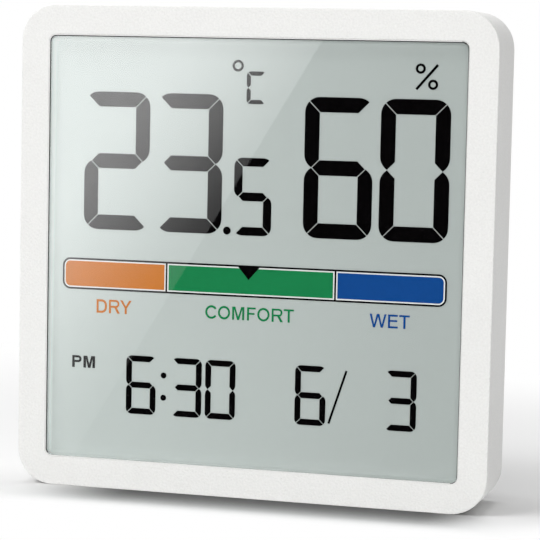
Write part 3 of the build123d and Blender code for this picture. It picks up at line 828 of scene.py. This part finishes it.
class CLOCK_OT_comfort_bar(bpy.types.Operator):
    """Draw the bar of dry, comfortable and wet zones with its marker"""

    bl_idname = "clock.comfort_bar"
    bl_label = "Comfort bar"

    def execute(self, context):
        settings = context.scene.clock_display
        left, right, low, high = -31.68, 31.40, -6.74, -1.70
        line, clear, radius = 0.28, 0.22, 1.3
        dividers = (-14.05, 13.69)
        rim = rounded_plate(left, right, low, high, radius)
        hollow(rim, line)
        parts = [rim]
        for x in dividers:
            parts.append(rounded_plate(x - line / 2, x + line / 2, low + line, high - line, 0))
        lay_on_film("comfort_outline", merged(parts), ink(), 1.2)
        pale = printed_ink("Bar border", (0.86, 0.88, 0.87))
        inks = {
            "dry": printed_ink("Dry orange", settings.dry_colour),
            "comfort": printed_ink("Comfort green", settings.comfort_colour),
            "wet": printed_ink("Wet blue", settings.wet_colour),
        }
        limits = {
            "dry": (left + line, dividers[0] - line / 2, (True, False, False, True)),
            "comfort": (dividers[0] + line / 2, dividers[1] - line / 2, (False, False, False, False)),
            "wet": (dividers[1] + line / 2, right - line, (False, True, True, False)),
        }
        for name, (start, end, corners) in limits.items():
            border = rounded_plate(start, end, low + line, high - line, radius - line, corners)
            lay_on_film(f"{name}_border", border, pale, 0.5)
            zone = rounded_plate(start + clear, end - clear, low + line + clear, high - line - clear,
                                 radius - line - clear, corners)
            lay_on_film(f"{name}_zone", zone, inks[name])
        top = high - line / 2
        marker = outline([(-2.28, top), (-0.42, -3.98), (1.46, top)])
        lay_on_film("comfort_marker", marker, ink(), 1.4)
        return {"FINISHED"}


class CLOCK_OT_words(bpy.types.Operator):
    """Draw the zone names and the half-day sign"""

    bl_idname = "clock.words"
    bl_label = "Words"

    def execute(self, context):
        inks = bpy.data.materials
        lay_on_film("dry_word", word("DRY", -25.82, -19.89, -10.42, -8.25), inks["Dry orange"])
        lay_on_film("comfort_word", word("COMFORT", -7.47, 7.10, -10.44, -8.29), inks["Comfort green"])
        lay_on_film("wet_word", word("WET", 19.32, 25.69, -10.42, -8.31), inks["Wet blue"])
        lay_on_film("half_day_word", word("PM", -29.88, -25.97, -19.46, -17.54, 0.205), ink())
        return {"FINISHED"}


class CLOCK_OT_back(bpy.types.Operator):
    """Finish the rear cover, the door, the leg, the screws and the buttons"""

    bl_idname = "clock.back"
    bl_label = "Back"

    def execute(self, context):
        settings = context.scene.clock_case
        cover = moulded_plastic("Back white", settings.back_colour, 5200.0, 0.018 * MM, 0.44, 0.56)
        dress(cover, "rear_cover", "battery_door", "stand_leg")
        grey = moulded_plastic("Button grey", settings.button_colour, 7000.0, 0.01 * MM, 0.38, 0.46)
        dress(grey, "set_button", "up_button", "down_button")
        zinc = plated_metal("Screw zinc", (0.66, 0.67, 0.68), 0.28, 0.42, 5000.0)
        dress(zinc, "cover_screws", "board_screws")
        return {"FINISHED"}


class CLOCK_OT_inside(bpy.types.Operator):
    """Finish the board, the cells, the contacts and the other inner pieces"""

    bl_idname = "clock.inside"
    bl_label = "Inside"

    # Colour, grains per metre, grain depth in millimetres, smooth and rough ends of the roughness, and nodes
    plastics = {
        "Tray grey": ((0.70, 0.70, 0.67), 5000.0, 0.01, 0.45, 0.55, ["lcd_chassis"]),
        "Connector rubber": ((0.62, 0.26, 0.30), 8000.0, 0.01, 0.6, 0.75, ["zebra_connector"]),
        "Epoxy black": ((0.012, 0.012, 0.013), 1500.0, 0.01, 0.12, 0.25, ["controller_blob"]),
        "Sensor white": ((0.72, 0.72, 0.70), 9000.0, 0.005, 0.4, 0.5, ["climate_sensor"]),
        "Chip tan": ((0.36, 0.23, 0.11), 9000.0, 0.005, 0.45, 0.6, ["chip_capacitors"]),
        "Switch black": ((0.02, 0.02, 0.02), 6000.0, 0.01, 0.4, 0.55,
                         ["key_switches", "set_switch_plunger", "up_switch_plunger", "down_switch_plunger"]),
        "Lead red": ((0.42, 0.012, 0.01), 6000.0, 0.005, 0.35, 0.5, ["battery_lead_red"]),
        "Lead black": ((0.012, 0.012, 0.012), 6000.0, 0.005, 0.35, 0.5, ["battery_lead_black"]),
    }

    def execute(self, context):
        for name, (colour, grain, depth, smooth, rough, nodes) in self.plastics.items():
            dress(moulded_plastic(name, colour, grain, depth * MM, smooth, rough), *nodes)
        dress(self.board_mask(), "main_board")
        dress(plated_metal("Crystal can", (0.78, 0.78, 0.77), 0.12, 0.25, 4000.0), "clock_crystal")
        dress(plated_metal("Contact nickel", (0.74, 0.73, 0.70), 0.2, 0.34, 6000.0), "bridge_contact",
              "positive_contact", "negative_contact", "upper_cell_spring", "lower_cell_spring")
        for name in ("battery_cell_upper", "battery_cell_lower"):
            dress(self.cell_sleeve(name), name)
        return {"FINISHED"}

    def board_mask(self):
        """Green solder mask with faint tracks under it."""
        made, tree, shader = new_material("Board green")
        tracks = node(tree, "ShaderNodeTexWave", Scale=420.0, Distortion=3.0, Detail=1.0,
                      Vector=object_place(tree))
        level = spread(tree, tracks.outputs["Fac"], 0.72, 0.8)
        tone = blend(tree, level, (0.012, 0.11, 0.045, 1.0), (0.03, 0.19, 0.075, 1.0))
        raise_grain(tree, shader, level, 0.02 * MM, 0.6)
        wire(tree, shader, Base_Color=tone, Roughness=0.32)
        return made

    def cell_sleeve(self, name):
        """Printed sleeve of a cell: dark body, a band near the positive end and bare metal at both ends."""
        low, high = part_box(name)
        ends = (low.x, high.x) if name == "battery_cell_upper" else (high.x, low.x)
        made, tree, shader = new_material(f"Sleeve {name.split('_')[-1]}")
        along = spread(tree, object_axes(tree)["X"], *ends)
        bare, dark, gold = (0.70, 0.70, 0.69, 1.0), (0.012, 0.05, 0.075, 1.0), (0.55, 0.33, 0.08, 1.0)
        sleeve, band, rim = 0.012, 0.74, 0.966
        bands = ramp(tree, along, [(0.0, bare), (sleeve, dark), (band, gold), (rim, bare)], "CONSTANT")
        metal = ramp(tree, along, [(0.0, 1.0), (sleeve, 0.0), (rim, 1.0)], "CONSTANT")
        mottle = place_group(tree, mottle_group(), Spots_per_metre=900.0, Smooth=0.22, Rough=0.34)
        wire(tree, shader, Base_Color=bands, Metallic=metal, Roughness=mottle["Roughness"])
        return made


class CLOCK_OT_stage(bpy.types.Operator):
    """Set up the floor, the soft light, the card mirrored in the window and the camera"""

    bl_idname = "clock.stage"
    bl_label = "Stage"

    def execute(self, context):
        context.scene.view_settings.view_transform = "Standard"
        self.floor()
        self.room(context)
        eye = self.camera(context)
        self.glare_card(context, eye)
        settings = context.scene.clock_stage
        self.softbox("Overhead", (-0.02, 0.085, 0.85), (0, 0, 0), 0.5, 0.16, settings.overhead_power)
        self.softbox("Key", (-0.50, -0.38, 0.85), (0, 0, 0.03), 0.5, 0.5, settings.key_power)
        self.softbox("Fill", (0.17, -1.1, 0.25), (0, 0, 0.04), 0.6, 0.45, settings.fill_power)
        return {"FINISHED"}

    def sheet(self, name, size, made):
        """A square sheet round the origin."""
        shape = bmesh.new()
        bmesh.ops.create_grid(shape, x_segments=1, y_segments=1, size=size)
        return add_object(name, shape, made)

    def floor(self):
        """Plain pale floor that keeps the lamps' shadow near the clock, with a painted contact shadow under
        it, and runs out to white.

        Close to what stands on it the floor's colour is painted darker from ambient occlusion, for camera
        rays only: a painted shadow, limited to the front of the clock.
        Mirrors look past it to the white of the room."""
        pale = (0.9, 0.9, 0.9, 1.0)
        made, tree, shader = new_material("Floor pale")
        wire(tree, shader, Base_Color=pale, Roughness=0.9, Specular_IOR_Level=0.0)
        axes = object_axes(tree)
        x, y = axes["X"], axes["Y"]
        far = fold(tree, "MAXIMUM", [
            fade(tree, maths(tree, "SUBTRACT", x, y), 54 * MM, 70 * MM),
            fade(tree, y, FACE_FRONT - 8 * MM, FACE_FRONT - 15.5 * MM),
            fade(tree, y, 70 * MM, 150 * MM),
            fade(tree, x, -60 * MM, -110 * MM),
            fade(tree, x, 60 * MM, 110 * MM),
        ])
        # Painted shadow: where this mask allows, the floor's colour darkens with ambient occlusion near the
        # clock.
        painted_shadow_mask = fold(tree, "MULTIPLY", [
            fade(tree, maths(tree, "ADD", x, y), 33 * MM, 24 * MM),
            fade(tree, x, -39.5 * MM, -18 * MM),
            fade(tree, x, 44.5 * MM, 29 * MM),
            fade(tree, y, FACE_FRONT + 16 * MM, FACE_FRONT + 3 * MM),
        ])
        near = node(tree, "ShaderNodeAmbientOcclusion", samples=16, Distance=13.5 * MM)
        tones = [(0.5, 0.12), (0.66, 0.17), (0.80, 0.33), (0.93, 0.67), (1.0, 0.9)]
        painted_contact_shadow = blend(tree, painted_shadow_mask, pale, ramp(tree, near.outputs["AO"], tones))
        shaded = node(tree, "ShaderNodeBsdfDiffuse", Roughness=0.0, Color=painted_contact_shadow)
        white = node(tree, "ShaderNodeEmission", Strength=1.0)
        looked_at = node(tree, "ShaderNodeLightPath").outputs["Is Camera Ray"]
        seen = choose(tree, looked_at, shader.outputs["BSDF"], shaded.outputs["BSDF"])
        surface = choose(tree, maths(tree, "MULTIPLY", far, looked_at), seen, white.outputs["Emission"])
        wire(tree, tree.nodes["Material Output"], Surface=surface)
        ground = self.sheet("floor", 8.0, made)
        ground.visible_glossy = False
        ground.visible_transmission = False

    def room(self, context):
        """Even light all round, white where the camera or a mirror looks at it."""
        world = bpy.data.worlds.new("Room")
        context.scene.world = world
        world.use_nodes = True
        tree = world.node_tree
        tree.nodes.clear()
        path = node(tree, "ShaderNodeLightPath").outputs
        rays = [path[f"Is {kind} Ray"] for kind in ("Camera", "Glossy", "Transmission")]
        lights = [node(tree, "ShaderNodeBackground", Color=WHITE, Strength=strength).outputs["Background"]
                  for strength in (context.scene.clock_stage.room_light, 1.0)]
        node(tree, "ShaderNodeOutputWorld", Surface=choose(tree, fold(tree, "MAXIMUM", rays), *lights))

    def softbox(self, name, place, aim, wide, tall, power):
        """A soft lamp that points at a spot."""
        data = bpy.data.lights.new(name, "AREA")
        data.shape = "RECTANGLE"
        data.size = wide
        data.size_y = tall
        data.energy = power
        lamp = bpy.data.objects.new(name, data)
        bpy.context.scene.collection.objects.link(lamp)
        lamp.location = place
        lamp.rotation_euler = (Vector(aim) - Vector(place)).to_track_quat("-Z", "Y").to_euler()

    def camera(self, context):
        """The camera at the photograph's viewing angle. Returns its place."""
        azimuth, elevation, roll = (math.radians(angle) for angle in (15.861, 5.268, 1.184))
        aim_right, aim_down, distance = 3.182 * MM, 2.282 * MM, 351.784 * MM
        away = Vector((math.sin(azimuth) * math.cos(elevation), -math.cos(azimuth) * math.cos(elevation),
                       math.sin(elevation)))
        right = (-away).cross(Vector((0, 0, 1))).normalized()
        up = right.cross(-away)
        turned_right = math.cos(roll) * right + math.sin(roll) * up
        turned_up = -math.sin(roll) * right + math.cos(roll) * up
        face = Vector((0, FACE_FRONT, FACE_MIDDLE))
        target = face + turned_right * aim_right - turned_up * aim_down
        eye = target + away * distance
        data = bpy.data.cameras.new("Camera")
        data.sensor_fit = "HORIZONTAL"
        data.sensor_width = 36.0
        data.lens = context.scene.clock_stage.focal_length
        data.clip_start = 0.01
        camera = bpy.data.objects.new("Camera", data)
        context.scene.collection.objects.link(camera)
        turn = Matrix((turned_right, turned_up, away)).transposed().to_4x4()
        camera.matrix_world = Matrix.Translation(eye) @ turn
        context.scene.camera = camera
        return eye

    def glare_card(self, context, eye):
        """A card in front of the clock that only mirrors see: black, with a bright part past a straight edge.

        The edge runs where the window shows it: each spot on the window mirrors one spot of the card."""
        distance = 0.45
        reach = (distance + LENS_FRONT) / (LENS_FRONT - eye.y)

        def mirrored(x, z):
            spot = Vector((x * MM, LENS_FRONT, FACE_MIDDLE + z * MM))
            ray = spot - eye
            ray.y = -ray.y
            return spot + ray * reach

        start, end = mirrored(10.88, 33.78), mirrored(-28.99, -33.19)
        made = bpy.data.materials.new("Glare card")
        made.use_nodes = True
        tree = made.node_tree
        tree.nodes.clear()
        reading = node(tree, "ShaderNodeVectorMath", operation="DOT_PRODUCT")
        reading.inputs[1].default_value = (0.9895, 0.1428, 0.0)
        tree.links.new(object_place(tree), reading.inputs[0])
        grown = MM * (1 + reach)
        share = spread(tree, reading.outputs["Value"], -7.2 * grown, 32.8 * grown)
        tones = ramp(tree, share, [(0.0, 0.03), (0.125, 0.09), (0.25, 0.175), (0.375, 0.32), (0.5, 0.50),
                                   (0.625, 0.68), (0.7, 0.77), (0.775, 0.82), (0.9, 0.84)])
        past = maths(tree, "GREATER_THAN", object_axes(tree)["X"], 0.0)
        power = maths(tree, "MULTIPLY", past, context.scene.clock_stage.glare_strength)
        glow = node(tree, "ShaderNodeEmission", Color=tones, Strength=power)
        node(tree, "ShaderNodeOutputMaterial", Surface=glow.outputs["Emission"])
        card = self.sheet("glare_card", 0.35, made)
        along = (start - end).normalized()
        into = Vector((-along.z, 0, along.x))
        turn = Matrix((into, along, into.cross(along))).transposed().to_4x4()
        card.matrix_world = Matrix.Translation((start + end) / 2) @ turn
        card.visible_camera = False
        card.visible_diffuse = False
        card.visible_shadow = False
        card.visible_volume_scatter = False


class CLOCK_PT_sidebar(bpy.types.Panel):
    """Lists the steps that finish the clock"""

    bl_idname = "CLOCK_PT_sidebar"
    bl_label = "Climate clock"
    bl_space_type = "VIEW_3D"
    bl_region_type = "UI"
    bl_category = "Climate clock"

    def draw(self, context):
        for settings in (context.scene.clock_display, context.scene.clock_case, context.scene.clock_stage):
            for name in settings.__annotations__:
                self.layout.prop(settings, name)
        for step in STEPS:
            self.layout.operator(step.bl_idname)


STEPS = (
    CLOCK_OT_case,
    CLOCK_OT_window,
    CLOCK_OT_display_face,
    CLOCK_OT_big_figures,
    CLOCK_OT_small_figures,
    CLOCK_OT_unit_signs,
    CLOCK_OT_comfort_bar,
    CLOCK_OT_words,
    CLOCK_OT_back,
    CLOCK_OT_inside,
    CLOCK_OT_stage,
)
CLASSES = (ClockDisplaySettings, ClockCaseSettings, ClockStageSettings, *STEPS, CLOCK_PT_sidebar)


def register():
    for kind in CLASSES:
        bpy.utils.register_class(kind)
    bpy.types.Scene.clock_display = PointerProperty(type=ClockDisplaySettings)
    bpy.types.Scene.clock_case = PointerProperty(type=ClockCaseSettings)
    bpy.types.Scene.clock_stage = PointerProperty(type=ClockStageSettings)


def unregister():
    del bpy.types.Scene.clock_display
    del bpy.types.Scene.clock_case
    del bpy.types.Scene.clock_stage
    for kind in reversed(CLASSES):
        bpy.utils.unregister_class(kind)


def main():
    register()
    bpy.ops.clock.case()
    bpy.ops.clock.window()
    bpy.ops.clock.display_face()
    bpy.ops.clock.big_figures()
    bpy.ops.clock.small_figures()
    bpy.ops.clock.unit_signs()
    bpy.ops.clock.comfort_bar()
    bpy.ops.clock.words()
    bpy.ops.clock.back()
    bpy.ops.clock.inside()
    bpy.ops.clock.stage()


if __name__ == "__main__":
    main()
